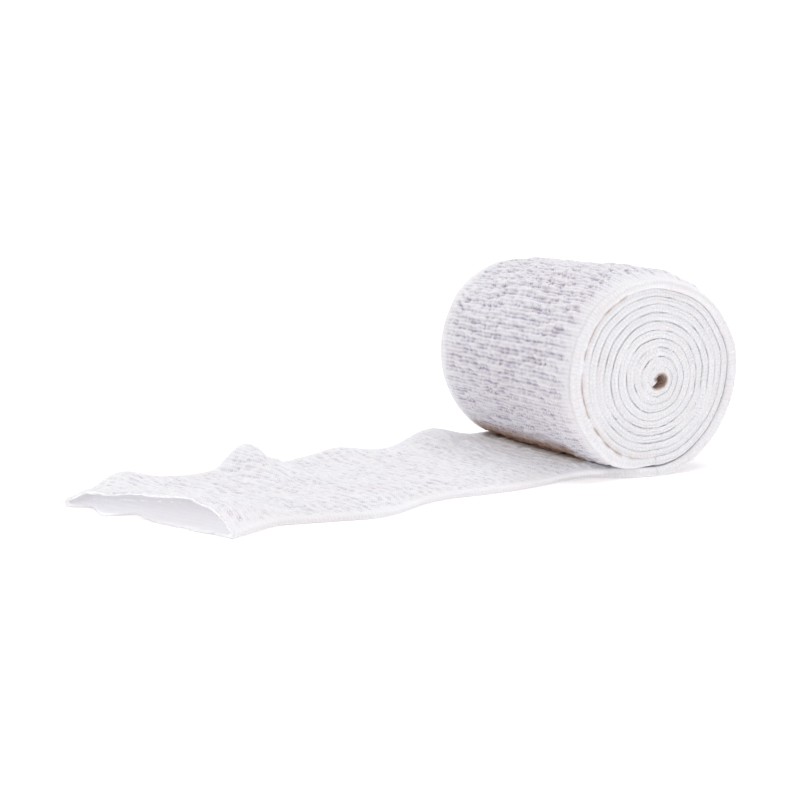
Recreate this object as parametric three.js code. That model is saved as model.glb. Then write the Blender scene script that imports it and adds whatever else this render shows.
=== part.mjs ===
// Tubular bandage: a knitted cotton tube, pressed flat and wound into a roll, with its
// loose end laid out to the left (-X) and the tube's mouth gaping at its tip.
// Millimetres, +Z up. The roll's axis runs along Y, and the origin is on the surface
// that it rests on, under the axis and at mid-width. The near end of the roll is at -Y.

import * as THREE from 'three';

// Cloth
const clothWidth = 75; // the tube pressed flat
const clothThickness = 2.6; // both layers together
const layerThickness = 1.1; // one layer, at the mouth
const edgeInset = 1; // how far the fold along each side curves in
const crepeHeight = 0.45; // from the trough to the crest of a crinkled row

// Roll
const turnCount = 11;
const rollRadius = 31.9; // outer radius where the cloth leaves the roll
const restSink = 0.35; // how far the roll's weight flattens it on the surface
const barrelDrop = 1.4; // how much thinner the roll is at its two ends
const coreHalfWidth = 2.9;
const coreHalfHeight = 2;
const coreDepth = 14; // the hole left in the middle of each end
const coreTaper = 0.7; // size of the hole's bottom against its rim
const coreSag = 1.9; // how much lower the core lies than the middle of the roll
const unevenness = 0.3; // how far the roll is out of round

// Loose end: the tube's two side folds as they lie, from the roll to the mouth
const LOOSE_END = [
  { nearX: -20, nearY: -35, farX: -22, farY: 37.5 },
  { nearX: -40, nearY: -34, farX: -42, farY: 37 },
  { nearX: -62, nearY: -34.5, farX: -60, farY: 34.5 },
  { nearX: -83, nearY: -37.5, farX: -78, farY: 35.5 },
  { nearX: -104, nearY: -40, farX: -98, farY: 33 },
  { nearX: -116, nearY: -42, farX: -116, farY: 29 },
  { nearX: -128, nearY: -41, farX: -134, farY: 27 },
  { nearX: -136, nearY: -44, farX: -151, farY: 24.5 },
  { nearX: -143, nearY: -47, farX: -168, farY: 11 },
];

// Buckles that lift the loose end off the surface; turn is the ridge's angle from +Y
const BUCKLES = [
  { x: -35, y: 38, reach: 34, spread: 17, turn: 14, height: 3.8 },
  { x: -104, y: 34, reach: 46, spread: 14, turn: -5, height: 5.8 },
  { x: -146, y: 26, reach: 20, spread: 12, turn: 20, height: 2.6 },
  { x: -70, y: 37, reach: 20, spread: 14, turn: 0, height: 0.9 },
];

// How far the two layers part at the mouth, from the near fold (0) to the far fold (1)
const MOUTH = [
  { across: 0, gape: 0 },
  { across: 0.12, gape: 5.2 },
  { across: 0.26, gape: 6.6 },
  { across: 0.5, gape: 4.6 },
  { across: 0.75, gape: 2.6 },
  { across: 1, gape: 0 },
];
const leastGap = 0.4; // between the layers where the open part ends

// Turns from the core outward: depth of the groove outside each, and how far its side
// fold stands in from the full width at the near and at the far end
const TURNS = [
  { turn: 0, groove: 0.5, nearFold: 1.6, farFold: 1.2 },
  { turn: 1, groove: 0.8, nearFold: 1, farFold: 1.1 },
  { turn: 2, groove: 0.9, nearFold: 0.6, farFold: 0.8 },
  { turn: 3, groove: 1.2, nearFold: 0.5, farFold: 0.3 },
  { turn: 4, groove: 1.7, nearFold: 0.2, farFold: 0.5 },
  { turn: 5, groove: 0.8, nearFold: 0.6, farFold: 0.9 },
  { turn: 6, groove: 1.2, nearFold: 0.5, farFold: 0.5 },
  { turn: 7, groove: 1, nearFold: 0.4, farFold: 0.2 },
  { turn: 8, groove: 1.9, nearFold: 0.2, farFold: 0.6 },
  { turn: 9, groove: 1, nearFold: 0.7, farFold: 0.9 },
  { turn: 10, groove: 2, nearFold: 0.6, farFold: 0.4 },
  { turn: 11, groove: 1, nearFold: 0, farFold: 0 },
];

// Steps of the mesh
const stepsPerTurn = 42;
const rowsPerStep = 3; // crinkled rows are sampled finer than the turns
const nipSteps = 2; // steps after which the loose end and the roll part
const tailRows = 98;
const mouthRows = 20; // tail rows over which the layers part, about 32 mm
const mouthStride = 4; // tail rows for each row of the inner wall
const ACROSS = [-1, -0.9, -0.7, -0.44, -0.16, 0.16, 0.44, 0.7, 0.9, 1];

const halfWidth = clothWidth / 2;
const coreRadius = rollRadius - clothThickness * turnCount;
const axisHeight = rollRadius - restSink;
const lastStep = turnCount * stepsPerTurn;
const firstOuterStep = lastStep - stepsPerTurn;
const nipStep = firstOuterStep + nipSteps;
const ENDS = [
  { side: -1, column: 'nearFold', edge: 0 },
  { side: 1, column: 'farFold', edge: ACROSS.length - 1 },
];

function smooth(value) {
  const t = THREE.MathUtils.clamp(value, 0, 1);
  return t * t * (3 - 2 * t);
}

function readTable(rows, input, output, value) {
  const next = rows.findIndex((row) => row[input] > value);
  if (next === -1) {
    return rows[rows.length - 1][output];
  }
  if (next === 0) {
    return rows[0][output];
  }
  const from = rows[next - 1];
  const to = rows[next];
  const part = smooth((value - from[input]) / (to[input] - from[input]));
  return from[output] + (to[output] - from[output]) * part;
}

// A closed skin of triangles, built point by point
class Skin {
  constructor() {
    this.points = [];
    this.faces = [];
  }

  point(x, y, z) {
    this.points.push(x, y, z);
    return this.points.length / 3 - 1;
  }

  triangle(a, b, c) {
    if (a !== b && b !== c && c !== a) {
      this.faces.push(a, b, c);
    }
  }

  quad(a, b, c, d) {
    this.triangle(a, b, c);
    this.triangle(a, c, d);
  }

  // A strip between two lines of points; where one line is finer, the other's points fan out
  strip(coarse, fine, flip) {
    const ratio = (fine.length - 1) / (coarse.length - 1);
    const add = (a, b, c) => (flip ? this.triangle(a, c, b) : this.triangle(a, b, c));
    for (let i = 0; i < coarse.length - 1; i += 1) {
      const turnOver = Math.floor(ratio / 2);
      for (let j = 0; j < ratio; j += 1) {
        const hub = j <= turnOver ? coarse[i] : coarse[i + 1];
        add(hub, fine[i * ratio + j], fine[i * ratio + j + 1]);
        if (j === turnOver) {
          add(coarse[i], fine[i * ratio + j + 1], coarse[i + 1]);
        }
      }
    }
  }

  geometry() {
    const geometry = new THREE.BufferGeometry();
    geometry.setAttribute('position', new THREE.Float32BufferAttribute(this.points, 3));
    geometry.setIndex(this.faces);
    geometry.computeVertexNormals();
    return geometry;
  }
}

// Crinkled rows of the crepe knit: every other row stands up, broken and uneven across
function crepe(row, across) {
  const upDown = row % 2 === 0 ? 1 : -1;
  const broken = 0.6 + 0.4 * Math.sin(9 * across + 2.4 * row);
  const fade = smooth((1 - Math.abs(across)) / 0.2);
  return (upDown * broken * fade * crepeHeight) / 2;
}

// Radius of the cloth's outer face, which starts on the oval core and grows each turn
function turnRadius(step) {
  const angle = (2 * Math.PI * step) / stepsPerTurn;
  const oval = (coreHalfWidth * coreHalfHeight)
    / Math.hypot(coreHalfHeight * Math.sin(angle), coreHalfWidth * Math.cos(angle));
  const round = coreRadius + (clothThickness * step) / stepsPerTurn;
  return oval + (round - oval) * smooth(step / stepsPerTurn);
}

// Place on the spiral, clockwise from the bottom as seen from the near end
function onRoll(step, radius, y) {
  const angle = (2 * Math.PI * step) / stepsPerTurn;
  const middle = axisHeight - coreSag * (1 - radius / rollRadius);
  return [-radius * Math.sin(angle), y, Math.max(0, middle - radius * Math.cos(angle))];
}

// Place on the core's oval, or on a smaller one like it
function onCore(step, size, y) {
  const angle = (2 * Math.PI * step) / stepsPerTurn;
  const middle = axisHeight - coreSag * (1 - coreHalfHeight / rollRadius);
  const x = -size * coreHalfWidth * Math.sin(angle);
  return [x, y, middle - size * coreHalfHeight * Math.cos(angle)];
}

// Where the cloth is clear of the surface it rests on: 0 at the bottom, 1 up the sides
function clearOfRest(step) {
  const angle = (2 * Math.PI * step) / stepsPerTurn;
  return smooth((1 - Math.cos(angle)) / 0.5);
}

function onRollSide(step, across) {
  const angle = (2 * Math.PI * step) / stepsPerTurn;
  const clear = clearOfRest(step);
  const drop = barrelDrop * Math.abs(across) ** 6;
  const wave = unevenness * Math.sin(3 * angle + 2 * across) * (1 - across * across);
  const row = Math.round((step - firstOuterStep) * rowsPerStep);
  const radius = turnRadius(step) + clear * (wave - drop + crepe(row, across));
  return onRoll(step, radius, across * (halfWidth - edgeInset));
}

// Lines that each end of the roll is drawn with: the groove outside each turn, and the
// crest of the fold between two grooves
function grooveY(end, step) {
  const turn = step / stepsPerTurn;
  const fold = readTable(TURNS, 'turn', end.column, turn);
  const uneven = 1 + 0.25 * Math.sin(3.3 * turn * Math.PI + end.side);
  const groove = readTable(TURNS, 'turn', 'groove', turn) * uneven;
  const toEdge = smooth((step - firstOuterStep) / nipSteps);
  return end.side * (halfWidth - (fold + groove) * (1 - toEdge) - edgeInset * toEdge);
}

function crestY(end, step) {
  const turn = step / stepsPerTurn;
  const fold = readTable(TURNS, 'turn', end.column, turn + 0.5);
  return end.side * (halfWidth - fold + 0.15 * Math.sin(5.1 * turn * Math.PI));
}

// Loose end: one row across it, at a part (0 to 1) of the way to the mouth
const nipX = onRollSide(nipStep, 0)[0];
const tableRows = [{ nearX: nipX, nearY: -halfWidth, farX: nipX, farY: halfWidth }, ...LOOSE_END];
const nearFold = new THREE.CatmullRomCurve3(
  tableRows.map((row) => new THREE.Vector3(row.nearX, row.nearY, 0)),
);
const farFold = new THREE.CatmullRomCurve3(
  tableRows.map((row) => new THREE.Vector3(row.farX, row.farY, 0)),
);

function lift(x, y) {
  let height = 0;
  for (const buckle of BUCKLES) {
    const turn = THREE.MathUtils.degToRad(buckle.turn);
    const dx = x - buckle.x;
    const dy = y - buckle.y;
    const along = (dx * Math.sin(turn) + dy * Math.cos(turn)) / buckle.reach;
    const aside = (dx * Math.cos(turn) - dy * Math.sin(turn)) / buckle.spread;
    height += buckle.height * smooth(1 - Math.abs(along)) * smooth(1 - Math.abs(aside));
  }
  return height;
}

function gape(part, acrossPart) {
  const inward = ((1 - part) * tailRows) / mouthRows;
  return readTable(MOUTH, 'across', 'gape', acrossPart) * smooth(1 - inward);
}

// Heights of the cloth at one place: the underside, the upper side and the fold between
function tailPlace(row, across, inset) {
  const part = row / tailRows;
  const near = nearFold.getPointAt(part);
  const far = farFold.getPointAt(part);
  const reach = inset / near.distanceTo(far);
  const acrossPart = reach + ((1 + across) / 2) * (1 - 2 * reach);
  const place = near.lerp(far, acrossPart);
  const low = lift(place.x, place.y);
  return { x: place.x, y: place.y, low, high: low + clothThickness + gape(part, acrossPart) };
}

function nipRise(row) {
  return 0.5 * (1 - smooth(row / 3));
}

// The cloth from the core to the mouth, as one skin
function bandageGeometry() {
  const skin = new Skin();

  // Grooves and crests of both ends, from the core to where the loose end leaves
  for (const end of ENDS) {
    end.groove = [];
    end.crest = [];
    for (let step = 0; step <= lastStep + nipSteps; step += 1) {
      const inner = step < stepsPerTurn ? turnRadius(0) : turnRadius(step - stepsPerTurn);
      const outer = turnRadius(step);
      if (step <= nipStep) {
        const [x, y, z] = onRoll(step, outer, grooveY(end, step));
        end.groove.push(skin.point(x, y, z));
      } else if (step <= lastStep) {
        end.groove.push(skin.point(...onRollSide(step, end.side)));
      }
      if (step === 0) {
        end.crest.push(end.groove[0]);
      } else if (step <= lastStep) {
        const outset = step > firstOuterStep ? barrelDrop * clearOfRest(step) * 0.6 : 0;
        const [x, y, z] = onRoll(step, (inner + outer) / 2 - outset, crestY(end, step));
        end.crest.push(skin.point(x, y, Math.max(z, clothThickness / 2)));
      } else {
        const [x] = onRoll(step - stepsPerTurn, turnRadius(step - stepsPerTurn), 0);
        end.crest.push(skin.point(x, end.side * halfWidth, clothThickness / 2));
        end.groove.push(skin.point(x, end.side * (halfWidth - edgeInset), 0));
      }
    }
  }
  addEndFaces(skin);
  addCore(skin);
  addLooseEnd(skin, addRollSide(skin));
  return skin.geometry();
}

function addEndFaces(skin) {
  for (const end of ENDS) {
    const flip = end.side < 0;
    const rim = [];
    for (let step = 0; step < stepsPerTurn; step += 1) {
      rim.push(step === 0 ? end.groove[0] : skin.point(...onCore(step, 1, grooveY(end, 0))));
    }
    end.rim = rim;
    const inner = [...rim, ...end.groove];
    skin.strip(inner.slice(0, end.crest.length), end.crest, flip);
    skin.strip(end.crest.slice(0, nipStep + 1), end.groove.slice(0, nipStep + 1), flip);
    skin.strip(end.crest.slice(lastStep), end.groove.slice(lastStep), flip);
  }
}

// The hole in the middle of each end, where the roll was started
function addCore(skin) {
  for (const end of ENDS) {
    const flip = end.side < 0;
    const bottomY = end.side * (halfWidth - coreDepth);
    const bottom = [];
    for (let step = 0; step < stepsPerTurn; step += 1) {
      bottom.push(skin.point(...onCore(step, coreTaper, bottomY)));
    }
    const middle = skin.point(...onCore(0, 0, bottomY));
    skin.strip([...bottom, bottom[0]], [...end.rim, end.rim[0]], flip);
    for (let step = 0; step < stepsPerTurn; step += 1) {
      const next = bottom[(step + 1) % stepsPerTurn];
      skin.triangle(middle, flip ? next : bottom[step], flip ? bottom[step] : next);
    }
  }
}

// The outer turn's crinkled face; returns its first and last rows
function addRollSide(skin) {
  const rows = [];
  for (let row = nipStep * rowsPerStep; row <= lastStep * rowsPerStep; row += 1) {
    const step = row / rowsPerStep;
    const onStep = row % rowsPerStep === 0;
    rows.push(ACROSS.map((across, i) => {
      const end = ENDS.find((candidate) => candidate.edge === i);
      return end && onStep ? end.groove[step] : skin.point(...onRollSide(step, across));
    }));
  }
  for (let i = 1; i < rows.length; i += 1) {
    skin.strip(rows[i - 1], rows[i], false);
  }
  for (const end of ENDS) {
    const fine = rows.map((row) => row[end.edge]);
    skin.strip(end.crest.slice(nipStep, lastStep + 1), fine, end.side < 0);
  }
  return { first: rows[0], last: rows[rows.length - 1] };
}

function addLooseEnd(skin, side) {
  const edgeRow = (row, end) => {
    const { x, y, low, high } = tailPlace(row, end.side, 0);
    return skin.point(x, y, (low + high) / 2);
  };
  // Rows of the upper side and the underside, with a point on each side fold
  let upper = side.first;
  let lower = side.last;
  for (let step = lastStep + 1; step <= lastStep + nipSteps; step += 1) {
    const [x] = onRoll(step - stepsPerTurn, turnRadius(step - stepsPerTurn), 0);
    const next = ACROSS.map((across, i) => {
      const end = ENDS.find((candidate) => candidate.edge === i);
      return end ? end.groove[step] : skin.point(x, across * (halfWidth - edgeInset), 0);
    });
    skin.strip(lower, next, false);
    lower = next;
  }
  let folds = ENDS.map((end) => end.crest[lastStep + nipSteps]);
  for (let row = 1; row <= tailRows; row += 1) {
    const flat = smooth(row / 4) * smooth((tailRows - row) / 3);
    const nextUpper = ACROSS.map((across) => {
      const { x, y, high } = tailPlace(row, across, edgeInset);
      return skin.point(x, y, high + nipRise(row) + flat * crepe(row, across));
    });
    const nextLower = ACROSS.map((across) => {
      const { x, y, low } = tailPlace(row, across, edgeInset);
      return skin.point(x, y, low);
    });
    const nextFolds = ENDS.map((end) => edgeRow(row, end));
    skin.strip(upper, nextUpper, true);
    skin.strip(lower, nextLower, false);
    ENDS.forEach((end, i) => {
      const flip = end.side < 0;
      skin.strip([upper[end.edge], nextUpper[end.edge]], [folds[i], nextFolds[i]], flip);
      skin.strip([folds[i], nextFolds[i]], [lower[end.edge], nextLower[end.edge]], flip);
    });
    upper = nextUpper;
    lower = nextLower;
    folds = nextFolds;
  }
  addMouth(skin, [folds[0], ...upper, folds[1], ...[...lower].reverse()]);
}

// The inside of the open end: a wall's thickness in from the outside, closed at its depth
function addMouth(skin, lip) {
  let ring = lip;
  for (let row = tailRows; row >= tailRows - mouthRows; row -= mouthStride) {
    const inset = edgeInset + layerThickness;
    const upper = ACROSS.map((across) => {
      const { x, y, low, high } = tailPlace(row, across, inset);
      const top = Math.max(high - layerThickness, low + layerThickness + leastGap);
      return skin.point(x, y, top);
    });
    const lower = ACROSS.map((across) => {
      const { x, y, low } = tailPlace(row, across, inset);
      return skin.point(x, y, low + layerThickness);
    });
    const folds = ENDS.map((end) => {
      const { x, y, low } = tailPlace(row, end.side, layerThickness);
      return skin.point(x, y, low + clothThickness / 2);
    });
    const next = [folds[0], ...upper, folds[1], ...[...lower].reverse()];
    skin.strip([...ring, ring[0]], [...next, next[0]], true);
    ring = next;
  }
  for (let i = 1; i <= ring.length / 2; i += 1) {
    const opposite = ring.length - i;
    skin.quad(ring[i - 1], ring[i], ring[opposite], ring[(opposite + 1) % ring.length]);
  }
}

const cotton = new THREE.MeshStandardMaterial({
  color: 0xf1eff2,
  roughness: 0.95,
  metalness: 0,
});

const bandage = new THREE.Mesh(bandageGeometry(), cotton);
bandage.name = 'bandage';

const group = new THREE.Group();
group.add(bandage);

export default group;
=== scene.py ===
import math
import random
import bpy
import bmesh
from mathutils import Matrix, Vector, noise


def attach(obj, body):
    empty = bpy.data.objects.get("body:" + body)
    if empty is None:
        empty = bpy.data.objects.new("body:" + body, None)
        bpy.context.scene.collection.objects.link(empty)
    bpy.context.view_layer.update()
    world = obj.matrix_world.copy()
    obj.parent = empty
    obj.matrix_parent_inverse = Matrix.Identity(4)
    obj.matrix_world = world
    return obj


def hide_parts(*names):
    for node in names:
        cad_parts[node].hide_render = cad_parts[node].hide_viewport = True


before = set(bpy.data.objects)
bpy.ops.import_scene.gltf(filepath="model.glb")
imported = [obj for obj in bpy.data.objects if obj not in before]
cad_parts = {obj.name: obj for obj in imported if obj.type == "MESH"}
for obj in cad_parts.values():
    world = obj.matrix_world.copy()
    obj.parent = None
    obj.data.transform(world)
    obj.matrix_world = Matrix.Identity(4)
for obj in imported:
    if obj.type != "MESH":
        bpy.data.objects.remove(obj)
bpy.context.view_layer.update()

mm = 0.001  # sizes below are millimetres, and become metres as each point is placed

# camera: fitted to the roll's outline, about half a metre away and a little above it
view = dict(place=(-303, -411, 98.2), turn=-29.8, down=8.97, lens=72)


def addCamera():
    lens = bpy.data.cameras.new("camera")
    lens.lens = view["lens"]
    lens.clip_start = 0.01
    camera = bpy.data.objects.new("camera", lens)
    camera.location = Vector(view["place"]) * mm
    camera.rotation_euler = (math.radians(90 - view["down"]), 0, math.radians(view["turn"]))
    bpy.context.scene.collection.objects.link(camera)
    bpy.context.scene.camera = camera


addCamera()
print("camera set")


# the cloth, pressed flat and wound clockwise as seen from the near end
cloth = dict(width=75, pitch=2.48, fold=1.05, square=2.5, wall=0.8)
roll = dict(turns=11, core=3.3, radius=31.9, sink=0.35, sag=2.6, squeeze=0.18, squeezeReach=5,
            drift=1.6, driftReach=8, outOfRound=0.3, loose=1.32, looseRise=12.5)
halfWidth = cloth["width"] / 2
axisHeight = roll["radius"] - roll["sink"]

# each turn from the core out: the gap outside it, where less than 0 is pressed together, how far
# up the two folds touch there, and how far its folds stand in at both ends
turnRows = [
    dict(turn=0, gap=-0.30, pressed=0.94, near=1.1, far=1.6),
    dict(turn=1, gap=-0.30, pressed=0.97, near=0.8, far=1.1),
    dict(turn=2, gap=-0.30, pressed=0.93, near=0.6, far=0.8),
    dict(turn=3, gap=-0.30, pressed=0.97, near=0.5, far=0.3),
    dict(turn=4, gap=-0.15, pressed=0.55, near=0.4, far=0.5),
    dict(turn=5, gap=-0.30, pressed=0.97, near=0.4, far=0.9),
    dict(turn=6, gap=-0.30, pressed=0.94, near=0.4, far=0.5),
    dict(turn=7, gap=-0.30, pressed=0.97, near=0.42, far=0.2),
    dict(turn=8, gap=-0.20, pressed=0.65, near=0.4, far=0.6),
    dict(turn=9, gap=-0.30, pressed=0.93, near=0.45, far=0.9),
    dict(turn=10, gap=0.38, pressed=0.00, near=0.5, far=0.4),
    dict(turn=11, gap=0.10, pressed=0.00, near=-0.6, far=0.0),
    dict(turn=12, gap=0.10, pressed=0.00, near=-1.0, far=0.0),
]


def smooth(value):
    t = min(max(value, 0.0), 1.0)
    return t * t * (3 - 2 * t)


def readRows(rows, key, wanted, at):
    if at <= rows[0][key]:
        return rows[0][wanted]
    for before, after in zip(rows, rows[1:]):
        if at < after[key]:
            part = smooth((at - before[key]) / (after[key] - before[key]))
            return before[wanted] + (after[wanted] - before[wanted]) * part
    return rows[-1][wanted]


# crinkled rows across the cloth: wavy broken ridges, and valleys with pits where the knit opens, which get a
# painted shade
crepe = dict(row=3.2, pucker=4.1, drift=1.15, ridge=0.62, ridgeLevel=0.3, ridgeLow=0.05, ridgeHigh=1.1,
             ridgePower=1.3, pit=0.5, pitFloor=0.1, valleyPower=1.1, lump=0.28,
             open=0.22, closedByRidge=0.3, closedByLump=0.4)

# layers of noise: how strong each is, how fast it changes for each millimetre across and along
# the cloth, and the slice of the noise that it reads
wanderLayers = [
    dict(strength=1, across=0.045, along=0.035, slice=3.1),
    dict(strength=0.42, across=0.14, along=0.10, slice=7.7),
    dict(strength=0.22, across=0.42, along=0.30, slice=6.3),
]
lumpLayers = [
    dict(strength=1, across=0.55, along=0.7, slice=2.2),
    dict(strength=0.7, across=1.1, along=1.4, slice=8.2),
]

# what varies along each ridge or valley: its middle and its spread, how fast it changes across
# the cloth, the step in the noise from row to row, and the slice that it reads
rowLayers = dict(
    ridge=dict(middle=0.56, spread=1.3, across=0.21, rowStep=4.7, slice=1.3),
    slide=dict(middle=0, spread=1.5, across=0.13, rowStep=3.9, slice=5.5),
    valley=dict(middle=0.62, spread=1.1, across=0.11, rowStep=5.3, slice=9.2),
)


def layered(layers, along, across, seed):
    level = 0.0
    for layer in layers:
        place = (across * layer["across"], along * layer["along"], layer["slice"] + seed)
        level += layer["strength"] * noise.noise(place)
    return level


def alongRow(name, across, row, seed):
    layer = rowLayers[name]
    place = (across * layer["across"], row * layer["rowStep"], layer["slice"] + seed)
    return layer["middle"] + layer["spread"] * noise.noise(place)


# height over the cloth's face, and how much painted shade the knit gets there where it opens
def crepeAt(along, across, seed=0.0):
    row = along / crepe["row"] + crepe["drift"] * layered(wanderLayers, along, across, seed)
    ridgeRow, valleyRow = math.floor(row), math.floor(row + 0.5)
    rise = 0.5 - 0.5 * math.cos(2 * math.pi * row)
    broken = alongRow("ridge", across, ridgeRow, seed)
    ridge = min(max(broken, crepe["ridgeLow"]), crepe["ridgeHigh"]) * rise ** crepe["ridgePower"]
    # the pits of one valley lie between those of the next
    slide = 0.5 * (valleyRow % 2) + alongRow("slide", across, valleyRow, seed)
    between = 0.5 + 0.5 * math.cos(2 * math.pi * (across / crepe["pucker"] + slide))
    deep = alongRow("valley", across, valleyRow, seed)
    valley = min(max(deep, 0.0), 1.0) * (1 - rise) ** crepe["valleyPower"]
    pit = valley * (crepe["pitFloor"] + (1 - crepe["pitFloor"]) * between)
    lump = layered(lumpLayers, along, across, seed)
    height = crepe["ridge"] * (ridge - crepe["ridgeLevel"]) - crepe["pit"] * pit + crepe["lump"] * lump
    opened = crepe["open"] + pit - crepe["closedByRidge"] * ridge - crepe["closedByLump"] * lump
    return height, min(max(opened, 0.0), 1.0)


# one loop round the pressed tube: outer face, far fold, inner face, near fold.
# Each entry is the place across, the bulge past the fold line, and the depth from inner to outer
def tubeSection(outerCount, innerCount, foldCount, square):
    power = 2 / square
    section = [(2 * k / outerCount - 1, 0.0, 1.0) for k in range(outerCount)]
    for side in (1, -1):
        for k in range(foldCount):
            angle = math.pi * k / foldCount
            depth = 0.5 + side * 0.5 * math.copysign(abs(math.cos(angle)) ** power, math.cos(angle))
            section.append((side, side * math.sin(angle) ** power, depth))
        if side == 1:
            section += [(1 - 2 * k / innerCount, 0.0, 0.0) for k in range(innerCount)]
    return section


# place across the cloth in millimetres, running on round the folds
def sectionAcross(section, column):
    if column >= len(section):
        return -4 * halfWidth
    across, bulge, depth = section[column]
    if depth > 0.5:
        return across * halfWidth + bulge
    return -2 * halfWidth - across * halfWidth - bulge


# a sheet of quads shaped by place(row, column), rolled shut across its columns.
# place gives a point in millimetres, how much painted shade the knit gets where it opens,
# how deep in painted brown shade it lies, and how much painted glow it gives off
def clothTube(name, rowCount, columnCount, place, flatPlace):
    bm = bmesh.new()
    bmesh.ops.create_grid(bm, x_segments=rowCount, y_segments=columnCount, size=1)
    flat = bm.loops.layers.uv.new("clothPlace")
    openness = bm.verts.layers.float.new("openness")
    shade = bm.verts.layers.float.new("shade")
    paintedGlow = bm.verts.layers.float.new("paintedGlow")
    places = {}
    for v in bm.verts:
        row = round((v.co.x + 1) / 2 * rowCount)
        places[v] = row, round((v.co.y + 1) / 2 * columnCount)
    for face in bm.faces:
        for loop in face.loops:
            loop[flat].uv = flatPlace(*places[loop.vert])
    for v, (row, column) in places.items():
        point, v[openness], v[shade], v[paintedGlow] = place(row, column % columnCount)
        v.co = point * mm
    bmesh.ops.remove_doubles(bm, verts=bm.verts, dist=1e-7)
    ends = [e for e in bm.edges if e.is_boundary]
    for e in ends:
        e.smooth = False
    bmesh.ops.holes_fill(bm, edges=ends, sides=0)
    bmesh.ops.recalc_face_normals(bm, faces=bm.faces)
    return finished(name, bm)


def finished(name, bm):
    mesh = bpy.data.meshes.new(name)
    for face in bm.faces:
        face.smooth = True
    bm.to_mesh(mesh)
    bm.free()
    piece = bpy.data.objects.new(name, mesh)
    bpy.context.scene.collection.objects.link(piece)
    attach(piece, "root")
    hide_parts("bandage")
    return piece


def turnRadius(turn):
    return roll["core"] + cloth["pitch"] * turn


# slow unevenness of the whole roll, which dies out towards the floor
wobble = dict(size=0.35, rate=0.11, rateAlongRoll=0.012, sliceAside=11, sliceUp=31, floor=1, calm=8)


def wobbled(x, y, z):
    rate, slide = wobble["rate"], y * wobble["rateAlongRoll"]
    dx = noise.noise((x * rate, z * rate, wobble["sliceAside"] + slide))
    dz = noise.noise((x * rate, z * rate, wobble["sliceUp"] + slide))
    calm = smooth((z - wobble["floor"]) / wobble["calm"])
    return Vector((x + wobble["size"] * dx * calm, y, z + wobble["size"] * dz * calm))


# brown shade: inside the core, in the outermost groove on the left, and in the nip, where it lies
# on the loose end as far as nipReach from under the axis, and fades up the roll over nipHeight
brown = dict(nip=0.95, nipReach=19, nipFade=6, nipLow=4.5, nipHeight=7, axisFade=4,
             nipNear=-25, nearFade=7, nipFar=36, farFade=4,
             core=0.75, coreReach=3.0, coreFade=1.2, coreDrift=0.85, coreDepth=0.4,
             groove=0.75, grooveLeft=20, grooveWidth=0.3, grooveTurns=1.2, grooveRise=0.3,
             patch=0.6, patchSpread=2.2, patchRate=0.3, patchSlice=5)


def nipShade(x, y, low):
    near = smooth((y - brown["nipNear"]) / brown["nearFade"])
    far = smooth((brown["nipFar"] - y) / brown["farFade"])
    return brown["nip"] * smooth(-x / brown["axisFade"]) * low * near * far


# a broken line of shade in the outermost groove, on its left side
def grooveShade(point, near):
    rate = brown["patchRate"]
    patches = noise.noise((point.x * rate, point.z * rate, brown["patchSlice"]))
    patches = smooth(brown["patch"] + brown["patchSpread"] * patches)
    return brown["groove"] * near * patches * smooth(-point.x / brown["grooveLeft"])


# how far the wound cloth stands off a true spiral: it slumps to the left, and a little to the
# right at the near end, and it is drawn in at both ends, most of all on top of the near one.
# Angles are radians round the roll from its resting place, and the left comes first. Lean is how
# much more the near end slumps than the middle, and early what the left has more of low down
slump = dict(left=2.95, lean=0.67, leftRise=1.5, leftEnd=3.3, leftFade=1.2, early=0.95, earlyRise=0.5,
             right=0.8, rightStart=3.4, rightRise=0.8, rightEnd=5.9, rightFade=0.9)
drawIn = dict(barrel=1.3, barrelPower=6, shoulder=1.5, shoulderWidth=0.2, farShare=0.35,
              nearShare=0.45, topGain=1.2, resting=0.5)


def standOff(radius, angle, across):
    share = radius / roll["radius"]
    rise, earlyRise = smooth(angle / slump["leftRise"]), smooth(angle / slump["earlyRise"])
    left = rise * (slump["left"] - slump["lean"] * across) + slump["early"] * (earlyRise - rise)
    left *= smooth((slump["leftEnd"] - angle) / slump["leftFade"])
    right = slump["right"] * smooth((angle - slump["rightStart"]) / slump["rightRise"])
    right *= smooth((slump["rightEnd"] - angle) / slump["rightFade"]) * (1 - across) / 2
    onShoulder = smooth((abs(across) - 1 + drawIn["shoulderWidth"]) / drawIn["shoulderWidth"])
    drawn = drawIn["barrel"] * abs(across) ** drawIn["barrelPower"] + drawIn["shoulder"] * onShoulder ** 2
    onTop = smooth(-drawIn["topGain"] * math.cos(angle))
    nearShare = drawIn["nearShare"] + (1 - drawIn["nearShare"]) * onTop
    drawn *= drawIn["farShare"] if across > 0 else nearShare
    clear = smooth((1 - math.cos(angle)) / drawIn["resting"])
    return (left + right) * share ** 2 - drawn * clear * share ** 4


# a noise that closes on itself with each turn, and changes slowly from turn to turn
def turnNoise(angle, size, level):
    return noise.noise((math.sin(angle) * size, math.cos(angle) * size, level))


# how the gap between two turns varies round the roll, and how unevenly the folds stand in
gapWaver = dict(middle=0.55, spread=0.9, least=0.1, size=1.4, turnStep=1.7)
foldWaver = dict(spread=0.45, size=2.1, turnStep=0.25)


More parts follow.
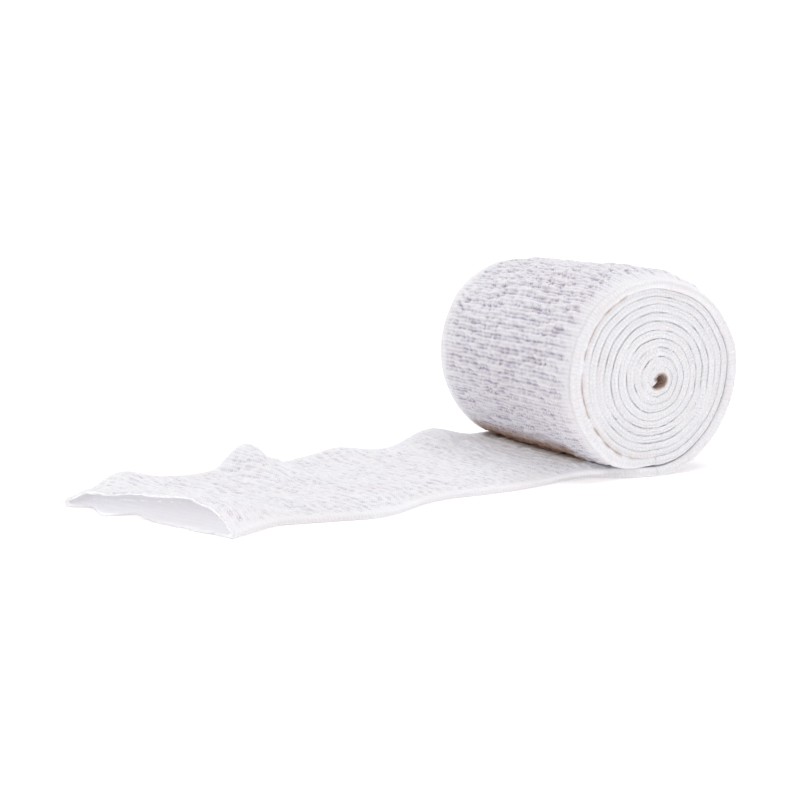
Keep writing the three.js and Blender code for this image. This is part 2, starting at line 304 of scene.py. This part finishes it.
# a point of the wound cloth: turns from the core, and the entry of the section
def woundPlace(turn, across, bulge, depth, fold=cloth["fold"], raised=0.0):
    angle = 2 * math.pi * turn
    around = angle % (2 * math.pi) if turn < roll["turns"] else 2 * math.pi
    waver = turnNoise(angle, gapWaver["size"], turn * gapWaver["turnStep"])
    waver = gapWaver["middle"] + gapWaver["spread"] * waver
    gap = readRows(turnRows, "turn", "gap", turn - 1)
    inner = turnRadius(turn - 1) + (gap * max(waver, gapWaver["least"]) if gap > 0 else gap)
    outer = turnRadius(turn)
    if turn > roll["turns"] - 1:
        wave = roll["outOfRound"] * math.sin(3 * angle + 2 * across) * (1 - across * across)
        outer += roll["loose"] * smooth((turn - roll["turns"] + 1) * roll["looseRise"])
        outer += wave * smooth((1 - math.cos(angle)) / drawIn["resting"])
    radius = inner + (outer - inner) * depth + raised
    radius += standOff(radius, around, across)
    setNear = readRows(turnRows, "turn", "near", turn + 0.5)
    setFar = readRows(turnRows, "turn", "far", turn + 0.5)
    uneven = turnNoise(angle, foldWaver["size"], turn * foldWaver["turnStep"] + across)
    uneven *= foldWaver["spread"]
    near = -(halfWidth - fold - setNear - uneven)
    far = halfWidth - fold - setFar - uneven
    y = near + (far - near) * (across + 1) / 2 + fold * bulge
    middle = axisHeight - roll["sag"] * (1 - radius / roll["radius"])
    squeeze = 1 - roll["squeeze"] * math.exp(-(radius / roll["squeezeReach"]) ** 2)
    drift = roll["drift"] * math.exp(-(radius / roll["driftReach"]) ** 2)
    x = drift - radius / squeeze * math.sin(angle)
    z = max(middle - radius * squeeze * math.cos(angle), 0)
    return wobbled(x, y, z)


# the ten inner turns: only their folds show, at the two ends of the roll
inside = dict(start=0.12, step=0.62, foldPoints=10, facePoints=5, fold=0.55, square=1.7)

# the stitches that notch those folds: their distance, how deep they cut, and how they vary
notches = dict(step=1.9, depth=0.06, slant=0.3, slide=1.4, slideRate=0.12, slideAcross=5, slideSlice=2.7,
               broken=0.5, lumps=1.6, lumpRate=0.3, lumpDepth=1.5, lumpAcross=3)


def notchIn(length, across, depth):
    slide = (length * notches["slideRate"], across * notches["slideAcross"], notches["slideSlice"])
    cycle = length / notches["step"] + notches["slide"] * noise.noise(slide) + notches["slant"] * depth
    lump = (length * notches["lumpRate"], depth * notches["lumpDepth"], across * notches["lumpAcross"])
    lump = noise.noise(lump)
    stitch = math.cos(2 * math.pi * cycle) * (notches["broken"] + lump)
    return notches["depth"] * (stitch + notches["lumps"] * lump)


def makeInnerTurns():
    facePoints = inside["facePoints"]
    section = tubeSection(facePoints, facePoints, inside["foldPoints"], inside["square"])
    turns = [inside["start"]]
    while turns[-1] < roll["turns"] - 1:
        around = 2 * math.pi * max(turnRadius(turns[-1] - 0.5), 1)
        turns.append(turns[-1] + inside["step"] / around)
    turns[-1] = roll["turns"] - 1
    lengths = [0.0]
    for before, after in zip(turns, turns[1:]):
        lengths.append(lengths[-1] + 2 * math.pi * (after - before) * turnRadius((after + before) / 2 - 0.5))

    def place(row, column):
        across, bulge, depth = section[column]
        if abs(across) == 1:  # pressed on both sides, the folds of two turns touch part of the way up
            pressed = readRows(turnRows, "turn", "pressed", turns[row] - (depth < 0.5))
            pressed *= abs(2 * depth - 1)
            bulge = across * (pressed + (1 - pressed) * abs(bulge))
        point = woundPlace(turns[row], across, bulge, depth, inside["fold"])
        if bulge:
            point.y += math.copysign(notchIn(lengths[row], across, depth) * abs(bulge), across)
        coreX, coreZ = brown["coreDrift"] * roll["drift"], axisHeight - roll["sag"]
        radius = math.hypot(point.x - coreX, point.z - coreZ)
        inCore = brown["core"] * smooth(1 - (radius - brown["coreReach"]) / brown["coreFade"])
        inCore *= smooth(1 - depth / brown["coreDepth"]) if abs(across) == 1 else 1
        fromLast = roll["turns"] - 1 - turns[row]
        groove = smooth((brown["grooveTurns"] - fromLast) / brown["grooveRise"])
        groove *= smooth(1 - (1 - depth) / brown["grooveWidth"])
        return point, 0.0, max(inCore, grooveShade(point, groove)), 0.0

    def flatPlace(row, column):
        return lengths[row] * mm, sectionAcross(section, column) * mm

    piece = clothTube("innerTurns", len(turns) - 1, len(section), place, flatPlace)
    lengths[-1] * mm
    print("inner turns", round(lengths[-1]), "mm of cloth")
    return piece


# the outer turn, whose crinkled face shows all round the roll
outside = dict(step=0.45, foldPoints=14, innerPoints=8, fold=1.5, shaded=0.19, smoothEdge=6.5,
               edgeLife=0.12, foldLife=0.5, firstRows=12, lastRows=24)


def makeOuterTurn():
    length = 2 * math.pi * turnRadius(roll["turns"] - 0.5)
    rowCount = round(length / outside["step"])
    outerCount = round((cloth["width"] - 2) / outside["step"])
    section = tubeSection(outerCount, outside["innerPoints"], outside["foldPoints"], cloth["square"])

    def place(row, column):
        across, bulge, depth = section[column]
        turn = roll["turns"] - 1 + row / rowCount
        raised, openness = 0.0, 0.0
        if depth > 0.5:
            height, openness = crepeAt(row * outside["step"], across * halfWidth)
            edge = smooth((1 - abs(across)) * halfWidth / outside["smoothEdge"])
            lively = outside["edgeLife"] + (1 - outside["edgeLife"]) * edge
            lively *= smooth(row / outside["firstRows"]) * smooth((rowCount - row) / outside["lastRows"])
            lively *= 1 if bulge == 0 else outside["foldLife"] * (1 - abs(bulge))
            # painted shade where the knit opens, and a painted shade over the whole outer face
            raised, openness = height * lively, (openness + outside["shaded"]) * lively
        point = woundPlace(turn, across, bulge, depth, outside["fold"], raised)
        low = smooth(1 - (point.z - brown["nipLow"]) / brown["nipHeight"]) * (depth > 0.5) * (bulge == 0)
        shade = nipShade(point.x, point.y, low)
        if abs(across) == 1:
            shade = max(shade, grooveShade(point, smooth(1 - depth / brown["grooveWidth"])))
        return point, openness, shade, 0.0

    def flatPlace(row, column):
        return row * outside["step"] * mm, sectionAcross(section, column) * mm

    piece = clothTube("outerTurn", rowCount, len(section), place, flatPlace)
    length * mm
    print("outer turn", rowCount, "rows")
    return piece


# the loose end: its two side folds as they lie, from the roll to the mouth
sideFolds = dict(
    near=[(0, -37.9), (-8, -37), (-15, -33), (-22, -30), (-30, -30.8), (-38, -33), (-48, -34.6),
          (-60, -34.9), (-70, -34.6), (-80, -36.8), (-87, -40.5), (-94, -44), (-101, -45.2),
          (-110, -43.4), (-119, -41.4), (-127, -40), (-133, -42.4), (-138, -44.6), (-143, -47.2)],
    far=[(0, 37.5), (-8.6, 37.5), (-22, 37.5), (-40, 37), (-52, 34), (-62, 31.5), (-74, 34.5),
         (-84, 33), (-93, 29), (-102, 31.5), (-112, 30), (-125, 24.5), (-138, 27), (-151, 25),
         (-168, 11)])

# buckles that lift it off the floor: place, reach along and across the ridge to its right and
# left side, its turn, height
buckles = [
    dict(x=-35, y=38, reach=34, right=17, left=17, turn=14, height=3.8),
    dict(x=-105, y=34, reach=46, right=10, left=13, turn=-7, height=6.4),
    dict(x=-146, y=26, reach=20, right=12, left=12, turn=20, height=2.6),
    dict(x=-70, y=38, reach=22, right=15, left=13, turn=4, height=1.8),
]

# sharp creases in the upper layer, beside the buckles
creases = [
    dict(start=(-97, 34), end=(-106, 6), width=3.0, depth=1.3),
    dict(start=(-101, 20), end=(-102, -16), width=4, depth=1.4),
    dict(start=(-116, 30), end=(-112, 10), width=2.6, depth=0.6),
    dict(start=(-26, 36), end=(-36, 14), width=3.2, depth=0.8),
    dict(start=(-122, -38), end=(-112, -16), width=3.5, depth=0.7),
]

# how far the two layers part at the mouth, from the near fold to the far one
mouthRows = [
    dict(across=0, gape=0),
    dict(across=0.12, gape=5.2),
    dict(across=0.26, gape=6.6),
    dict(across=0.5, gape=5.3),
    dict(across=0.75, gape=3.8),
    dict(across=0.87, gape=2.9),
    dict(across=1, gape=0),
]

# how far the lower layer's cut edge stands back from the line between the mouth's corners
cutRows = [
    dict(across=0, back=0),
    dict(across=0.25, back=0.6),
    dict(across=0.45, back=0.8),
    dict(across=0.62, back=4.2),
    dict(across=0.73, back=-2.5),
    dict(across=0.88, back=2.5),
    dict(across=1, back=0),
]
looseEnd = dict(step=0.45, underPoints=40, topWidth=66, foldPoints=12, settle=12, mouthDepth=32,
                innerStep=1.4, innerFold=0.3, leastGap=0.3, thick=2.45, slackThick=1.2, slackFade=45,
                nearThin=0.22, thinReach=14, thinShift=0.02, thinStart=20)

# its crinkles: how strong they are, and how they calm down by the roll and on the folds
tailCrepe = dict(relief=0.65, openness=0.6, innerRelief=0.06, seed=0.4, innerSeed=4.0, start=14,
                 edgeLife=0.25, foldLife=0.5, calmEdge=3.0)

# its cut edge: how far the shape of cutRows and the ragged edge reach back from it, in mouth depths
cut = dict(reach=0.35, upperShare=0.3, ragged=0.7, frayReach=0.1, coarse=9, coarseDepth=2.0,
           coarseSlice=4.4, fine=31, fineSlice=1.4, fineShare=0.6, rowsBack=6)

# painted light: a glow in the upper layer by the roll, where it starts and over what length it grows, and
# what is added at the mouth's near fold
paintedGlowReach = dict(start=-42, grow=22, nearFold=0.12, nearReach=0.2)
foldCurvePoints = 24  # points of the curve between two points of a fold


# a curve through the fold's points, read at equal lengths
def foldLine(side, count):
    points = [Vector((x, y, 0)) for x, y in sideFolds[side]]
    points = [2 * points[0] - points[1]] + points + [2 * points[-1] - points[-2]]
    fine = []
    for a, b, c, d in zip(points, points[1:], points[2:], points[3:]):
        for k in range(foldCurvePoints):
            t = k / foldCurvePoints
            bend = (2 * a - 5 * b + 4 * c - d) * t * t + (3 * b - a - 3 * c + d) * t ** 3
            fine.append(b + 0.5 * ((c - a) * t + bend))
    fine.append(points[-2])
    lengths = [0.0]
    for before, after in zip(fine, fine[1:]):
        lengths.append(lengths[-1] + (after - before).length)
    line, k = [], 0
    for i in range(count + 1):
        wanted = lengths[-1] * i / count
        while k < len(fine) - 2 and lengths[k + 1] < wanted:
            k += 1
        part = (wanted - lengths[k]) / (lengths[k + 1] - lengths[k])
        line.append(fine[k].lerp(fine[k + 1], part))
    return line, lengths[-1]


def buckleLift(x, y):
    height = 0.0
    for ridge in buckles:
        turn = math.radians(ridge["turn"])
        dx, dy = x - ridge["x"], y - ridge["y"]
        along = abs(dx * math.sin(turn) + dy * math.cos(turn)) / ridge["reach"]
        aside = dx * math.cos(turn) - dy * math.sin(turn)
        aside = max(aside / ridge["right"], -aside / ridge["left"])
        height += ridge["height"] * smooth(1 - along) * smooth(1 - aside)
    return height


creaseEnds = dict(start=5, end=2.5)  # how fast a crease deepens from its start and from its end


def creaseDepth(x, y):
    drop = 0.0
    for line in creases:
        start, run = Vector(line["start"]), Vector(line["end"]) - Vector(line["start"])
        offset = Vector((x, y)) - start
        part = offset.dot(run) / run.length_squared
        aside = abs(offset.x * run.y - offset.y * run.x) / run.length / line["width"]
        ends = smooth(part * creaseEnds["start"]) * smooth((1 - part) * creaseEnds["end"])
        drop += line["depth"] * smooth(1 - aside) * ends
    return drop


# how far the cloth at the cut edge moves out: the edge wanders, and is a little ragged
def cutShift(part, across, depth, toMouth, frayed):
    atCut = smooth(1 - toMouth / cut["reach"])
    back = readRows(cutRows, "across", "back", part) * (1 if depth > 0.5 else cut["upperShare"])
    rag = noise.noise((across * cut["coarse"], depth * cut["coarseDepth"], cut["coarseSlice"]))
    rag += cut["fineShare"] * noise.noise((across * cut["fine"], depth, cut["fineSlice"]))
    return rag * cut["ragged"] * max(frayed, 0) - back * atCut


# how much of the crinkle is left: none by the roll, and less on the side folds
def tailLife(bulge, along, calm):
    lively = tailCrepe["edgeLife"] + (1 - tailCrepe["edgeLife"]) * calm
    lively *= smooth(along / tailCrepe["start"])
    return lively * (1 if bulge == 0 else tailCrepe["foldLife"] * (1 - abs(bulge)))


# the two layers together thin out beside the near fold
def nearRounding(part, width, along):
    thin = 1 - smooth((part + looseEnd["thinShift"]) * width / looseEnd["thinReach"])
    return 1 - looseEnd["nearThin"] * thin * smooth(along / looseEnd["thinStart"])


def makeLooseEnd():
    _, nearLength = foldLine("near", 10)
    _, farLength = foldLine("far", 10)
    length = (nearLength + farLength) / 2
    rowCount = round(length / looseEnd["step"])
    nearLine, _ = foldLine("near", rowCount)
    farLine, _ = foldLine("far", rowCount)
    topPoints = round(looseEnd["topWidth"] / looseEnd["step"])
    section = tubeSection(looseEnd["underPoints"], topPoints, looseEnd["foldPoints"], cloth["square"])
    innerRows = round(looseEnd["mouthDepth"] / looseEnd["innerStep"])
    stride = looseEnd["innerStep"] / looseEnd["step"]
    start = 2 * math.pi * turnRadius(roll["turns"] - 0.5)  # the crinkle runs on from the outer turn
    fold, wall = cloth["fold"], cloth["wall"]

    # the roll's inner face lies on top here, so depth 0 is the top and depth 1 is on the floor
    def place(i, column):
        across, bulge, depth = section[column]
        within = i > rowCount  # the rows past the cut edge go back in along the mouth's walls
        row = rowCount - (i - rowCount - 1) * stride if within else i
        low = int(min(row, rowCount - 1))
        near = nearLine[low].lerp(nearLine[low + 1], row - low)
        far = farLine[low].lerp(farLine[low + 1], row - low)
        width = (far - near).length
        inset = (fold + (wall if within else 0)) / width
        outset = bulge * fold * (looseEnd["innerFold"] if within else 1) / width
        part = inset + (across + 1) / 2 * (1 - 2 * inset)
        point = near.lerp(far, part + outset)
        along = row * length / rowCount
        toMouth = (length - along) / looseEnd["mouthDepth"]
        gape = readRows(mouthRows, "across", "gape", part) * smooth(1 - toMouth)
        lift = buckleLift(point.x, point.y)
        rounded = nearRounding(part, width, along)
        slack = looseEnd["slackThick"] * (1 - smooth(along / looseEnd["slackFade"]))
        top = looseEnd["thick"] * rounded + slack
        calm = smooth((1 - abs(across)) * halfWidth / tailCrepe["calmEdge"])
        lively = tailLife(bulge, along, calm)
        seed = tailCrepe["innerSeed" if within else "seed"]
        height, openness = crepeAt(start + along, across * halfWidth, seed)
        under = smooth((point.x + brown["nipReach"]) / brown["nipFade"])
        shade = nipShade(point.x, point.y, under * (depth < 0.5) * (bulge == 0))
        # painted light: a glow on the upper layer by the roll, and below, inside the mouth
        glow = smooth((point.x - paintedGlowReach["start"]) / paintedGlowReach["grow"]) * (1 - under) * (depth < 0.5)
        if within:
            gapHeight = max(top + gape - 2 * wall, looseEnd["leastGap"])
            z = lift + wall + gapHeight * (1 - depth) + tailCrepe["innerRelief"] * height * (bulge == 0)
            openness = 0.0
            glow = 1 + paintedGlowReach["nearFold"] * smooth(1 - part / paintedGlowReach["nearReach"])
        elif depth < 0.5:
            dent = creaseDepth(point.x, point.y) * calm
            z = lift + (top + gape) * (1 - depth) + tailCrepe["relief"] * height * lively - dent
            # painted shade where the knit opens, weaker here
            openness *= lively * tailCrepe["openness"]
        else:
            z = lift + (top + gape) * (1 - depth)
            openness = 0.0
        if toMouth < cut["reach"]:
            frayed = float(i == rowCount + 1) if within else 1 - toMouth / cut["frayReach"]
            outwards = (near - nearLine[low - cut["rowsBack"]]).normalized()
            point += outwards * cutShift(part, across, depth, toMouth, frayed)
        point.z = max(z, 0)
        # the first rows settle out of the outer turn's own section
        joined = 1 - smooth(along / looseEnd["settle"])
        if joined > 0 and not within:
            seam = woundPlace(roll["turns"], across, bulge, depth, outside["fold"])
            thick = looseEnd["thick"] * rounded + looseEnd["slackThick"]
            own = nearLine[0].lerp(farLine[0], inset + (across + 1) / 2 * (1 - 2 * inset) + outset)
            own.z = thick * (1 - depth)
            point += (seam - own) * joined
        return point, openness, shade, glow

    def flatPlace(row, column):
        return (start + row * looseEnd["step"]) * mm, sectionAcross(section, column) * mm

    piece = clothTube("looseEnd", rowCount + 1 + innerRows, len(section), place, flatPlace)
    (length + looseEnd["mouthDepth"]) * mm
    print("loose end", round(length), "mm long")
    return piece


# yarn ends that have come loose: between two places, how many, which way they point on the floor
# and how far that varies, how long they are, and how much they rise
yarn = dict(radius=0.1, taper=0.4, sides=5, bends=7, curl=0.5, shortest=0.4, seed=4)
yarnTufts = [
    dict(start=(-167, 12, 0.7), end=(-166, 9, 1.6), count=8, turn=172, spread=35, length=4.2, rise=0.1),
    dict(start=(-164, 3, 3.4), end=(-150, -31, 7.4), count=16, turn=205, spread=40, length=1.9, rise=0.15),
    dict(start=(-161, -3, 0.4), end=(-147, -38, 0.4), count=9, turn=205, spread=40, length=1.5, rise=0.1),
    dict(start=(-33, -32, 0.7), end=(-25, -30.5, 0.7), count=9, turn=262, spread=45, length=5, rise=0.05),
    dict(start=(-110, 30, 2.6), end=(-60, 33, 2.6), count=9, turn=80, spread=60, length=1.6, rise=0.3),
]


# a wandering line of points that never goes under the floor
def yarnPath(point, tuft, chance):
    heading = math.radians(tuft["turn"] + tuft["spread"] * chance.uniform(-1, 1))
    stride = tuft["length"] * chance.uniform(yarn["shortest"], 1) / yarn["bends"]
    path = []
    for _ in range(yarn["bends"] + 1):
        path.append(point)
        heading += yarn["curl"] * chance.uniform(-1, 1)
        way = Vector((math.cos(heading), math.sin(heading), tuft["rise"] * chance.uniform(-1, 1)))
        point = point + way * stride
        point.z = max(point.z, yarn["radius"])
    return path


# a thin tube round the path, tapering to its end
def addYarn(bm, path):
    sides, bends = yarn["sides"], yarn["bends"]
    tube = bmesh.ops.create_grid(bm, x_segments=bends, y_segments=sides, size=1)["verts"]
    for v in tube:
        row = round((v.co.x + 1) / 2 * bends)
        around = 2 * math.pi * round((v.co.y + 1) / 2 * sides) / sides
        ahead = (path[min(row + 1, bends)] - path[max(row - 1, 0)]).normalized()
        aside = ahead.cross(Vector((0, 0, 1))).normalized()
        out = aside * math.cos(around) + aside.cross(ahead) * math.sin(around)
        v.co = (path[row] + out * yarn["radius"] * (1 - yarn["taper"] * row / bends)) * mm


def makeLooseYarns():
    chance = random.Random(yarn["seed"])
    bm = bmesh.new()
    for tuft in yarnTufts:
        for k in range(tuft["count"]):
            start, end = Vector(tuft["start"]), Vector(tuft["end"])
            addYarn(bm, yarnPath(start.lerp(end, (k + chance.random()) / tuft["count"]), tuft, chance))
    bmesh.ops.remove_doubles(bm, verts=bm.verts, dist=1e-7)
    bmesh.ops.holes_fill(bm, edges=[e for e in bm.edges if e.is_boundary], sides=0)
    bmesh.ops.recalc_face_normals(bm, faces=bm.faces)
    print("loose yarn ends", sum(tuft["count"] for tuft in yarnTufts))
    return finished("looseYarns", bm)


# node maths written as expressions on sockets
class Socket:
    def __init__(self, tree, output=None):
        self.tree, self.output = tree, output

    def node(self, kind, settings=None, sockets=None, output=0):
        made = self.tree.nodes.new(kind)
        for name, value in (settings or {}).items():
            setattr(made, name, value)
        for name, value in (sockets or {}).items():
            if isinstance(value, Socket):
                self.tree.links.new(value.output, made.inputs[name])
            else:
                made.inputs[name].default_value = value
        return Socket(self.tree, made.outputs[output])

    def sibling(self, name):
        return Socket(self.tree, self.output.node.outputs[name])

    def math(self, operation, first, second=0.0):
        return self.node("ShaderNodeMath", dict(operation=operation), {0: first, 1: second})

    def __add__(self, other):
        return self.math("ADD", self, other)

    def __sub__(self, other):
        return self.math("SUBTRACT", self, other)

    def __rsub__(self, other):
        return self.math("SUBTRACT", other, self)

    def __mul__(self, other):
        return self.math("MULTIPLY", self, other)

    def sine(self):
        return self.math("SINE", self)

    def attribute(self, name):
        return self.node("ShaderNodeAttribute", dict(attribute_name=name), {}, "Fac")

    def cloudy(self, at, scale, detail):
        return self.node("ShaderNodeTexNoise", {}, {"Vector": at, "Scale": scale, "Detail": detail})

    def bumped(self, height, distance, others):
        return self.node("ShaderNodeBump", {}, {"Height": height, "Distance": distance, **others}, "Normal")

    def clamped(self, low, high):
        sockets = {"Value": self, "From Min": low, "From Max": high}
        return self.node("ShaderNodeMapRange", dict(interpolation_type="SMOOTHSTEP"), sockets)

    def mixed(self, first, second):
        return self.node("ShaderNodeMix", dict(data_type="RGBA"), {0: self, 6: first, 7: second}, 2)


# cotton: off-white with a faint lavender, rosier in patches, with a painted shade where the knit opens, a
# painted brown shade and a painted glow
cotton = dict(white=(0.84, 0.834, 0.852, 1), rose=(0.83, 0.81, 0.826, 1), open=(0.40, 0.35, 0.45, 1),
              deep=(0.25, 0.105, 0.035, 1), paintedGlowColour=(0.172, 0.173, 0.177, 1),
              course=1.15, wale=0.95, bend=1.1, swayAside=7, swayAlong=5,
              patchScale=38.0, swayScale=260.0, fibreScale=2600.0, roseFrom=0.42, roseTo=0.66,
              holeFrom=0.35, holeTo=0.95, holeGain=0.85, holeLeast=0.25, openGain=0.9, openLeast=0.08,
              deepGain=1.15, deepFibre=0.3,
              stitchRelief=0.0001, fibreRelief=0.00005, rough=0.98, smoothLoops=0.12,
              sheen=0.2, sheenRough=0.6, specular=0.2,
              subsurface=0.75, subsurfaceRadius=(1.0, 0.92, 0.85), subsurfaceScale=0.0005)


def cottonMaterial():
    material = bpy.data.materials.new("cotton")
    material.use_nodes = True
    tree = material.node_tree
    shader = tree.nodes["Principled BSDF"]
    start = Socket(tree)
    flat = start.node("ShaderNodeUVMap", dict(uv_map="clothPlace"))
    along = start.node("ShaderNodeSeparateXYZ", {}, {0: flat})
    across = along.sibling("Y")
    patch = start.cloudy(flat, cotton["patchScale"], 2.0)
    sway = start.cloudy(flat, cotton["swayScale"], 1.0)
    fibre = start.cloudy(flat, cotton["fibreScale"], 3.0)
    openness = start.attribute("openness")
    shade = start.attribute("shade")
    paintedGlow = start.attribute("paintedGlow")

    # loops of the knit: columns side by side, with each course bent up and down between them
    columnTurn = 2 * math.pi / (cotton["wale"] * mm)
    courseTurn = 2 * math.pi / (cotton["course"] * mm)
    column = (across * columnTurn + sway * cotton["swayAside"]).sine()
    course = (along * courseTurn + column * cotton["bend"] + sway * cotton["swayAlong"]).sine()
    loops = (course * 0.5 + 0.5) * (column * 0.25 + 0.75)

    white = patch.clamped(cotton["roseFrom"], cotton["roseTo"]).mixed(cotton["white"], cotton["rose"])
    # painted shade in the stitch gaps and where the knit opens, mixed towards the shade colour
    hole = (1 - loops).clamped(cotton["holeFrom"], cotton["holeTo"])
    hole = hole * cotton["holeGain"] + cotton["holeLeast"]
    opened = openness * cotton["openGain"] + cotton["openLeast"]
    opened = (opened * hole).mixed(white, cotton["open"])
    shaded = shade * (cotton["deepGain"] - fibre * cotton["deepFibre"])
    shaded = shaded.mixed(opened, cotton["deep"])
    tree.links.new(shaded.output, shader.inputs["Base Color"])

    # painted light: a glow stands in for light through the thin upper layer, inside the mouth and by the
    # roll
    lit = paintedGlow.mixed((0, 0, 0, 1), cotton["paintedGlowColour"])
    tree.links.new(lit.output, shader.inputs["Emission Color"])
    shader.inputs["Emission Strength"].default_value = 1.0

    relief = start.bumped(loops, cotton["stitchRelief"], {})
    fuzz = start.bumped(fibre, cotton["fibreRelief"], {"Normal": relief})
    roughness = cotton["rough"] - loops * cotton["smoothLoops"]
    tree.links.new(fuzz.output, shader.inputs["Normal"])
    tree.links.new(roughness.output, shader.inputs["Roughness"])
    shader.inputs["Sheen Weight"].default_value = cotton["sheen"]
    shader.inputs["Sheen Roughness"].default_value = cotton["sheenRough"]
    shader.inputs["Specular IOR Level"].default_value = cotton["specular"]
    shader.inputs["Subsurface Weight"].default_value = cotton["subsurface"]
    shader.inputs["Subsurface Radius"].default_value = cotton["subsurfaceRadius"]
    shader.inputs["Subsurface Scale"].default_value = cotton["subsurfaceScale"]
    return material


# studio: a white floor that runs out of sight, a pale dome bright near the horizon, one wide key
studio = dict(dome=0.62, horizon=1.12, domeLow=0.2, domeHigh=0.6, skyTint=(0.985, 0.99, 1, 1),
              keyFrom=(0.1, 0.02, 1), keyPower=1.38, keySpread=50,
              floorReach=6, floorPaint=(0.93, 0.93, 0.93, 1), floorRough=0.8, floorSpecular=0.1,
              floorGlow=0.24, floorTint=(1, 0.93, 0.92, 1))


def addStudio():
    bm = bmesh.new()
    bmesh.ops.create_grid(bm, x_segments=1, y_segments=1, size=studio["floorReach"])
    mesh = bpy.data.meshes.new("floor")
    bm.to_mesh(mesh)
    bm.free()
    floor = bpy.data.objects.new("floor", mesh)
    bpy.context.scene.collection.objects.link(floor)
    material = bpy.data.materials.new("floorPaint")
    material.use_nodes = True
    shader = material.node_tree.nodes["Principled BSDF"]
    shader.inputs["Base Color"].default_value = studio["floorPaint"]
    shader.inputs["Roughness"].default_value = studio["floorRough"]
    shader.inputs["Specular IOR Level"].default_value = studio["floorSpecular"]
    shader.inputs["Emission Color"].default_value = studio["floorTint"]
    shader.inputs["Emission Strength"].default_value = studio["floorGlow"]
    mesh.materials.append(material)

    world = bpy.data.worlds.new("studio")
    world.use_nodes = True
    sky = world.node_tree.nodes["Background"]
    start = Socket(world.node_tree)
    direction = start.node("ShaderNodeTexCoord")
    upward = start.node("ShaderNodeSeparateXYZ", {}, {0: direction}, "Z")
    high = upward.clamped(studio["domeLow"], studio["domeHigh"])
    dome = high * (studio["dome"] - studio["horizon"]) + studio["horizon"]
    sky.inputs["Color"].default_value = studio["skyTint"]
    world.node_tree.links.new(dome.output, sky.inputs["Strength"])
    bpy.context.scene.world = world

    key = bpy.data.lights.new("key", "SUN")
    key.energy = studio["keyPower"]
    key.angle = math.radians(studio["keySpread"])
    light = bpy.data.objects.new("key", key)
    light.rotation_euler = Vector(studio["keyFrom"]).to_track_quat("Z", "Y").to_euler()
    bpy.context.scene.collection.objects.link(light)
    bpy.context.scene.view_settings.view_transform = "Standard"


cottonFinish = cottonMaterial()
for piece in (makeInnerTurns(), makeOuterTurn(), makeLooseEnd(), makeLooseYarns()):
    piece.data.materials.append(cottonFinish)
addStudio()
print("studio lit")
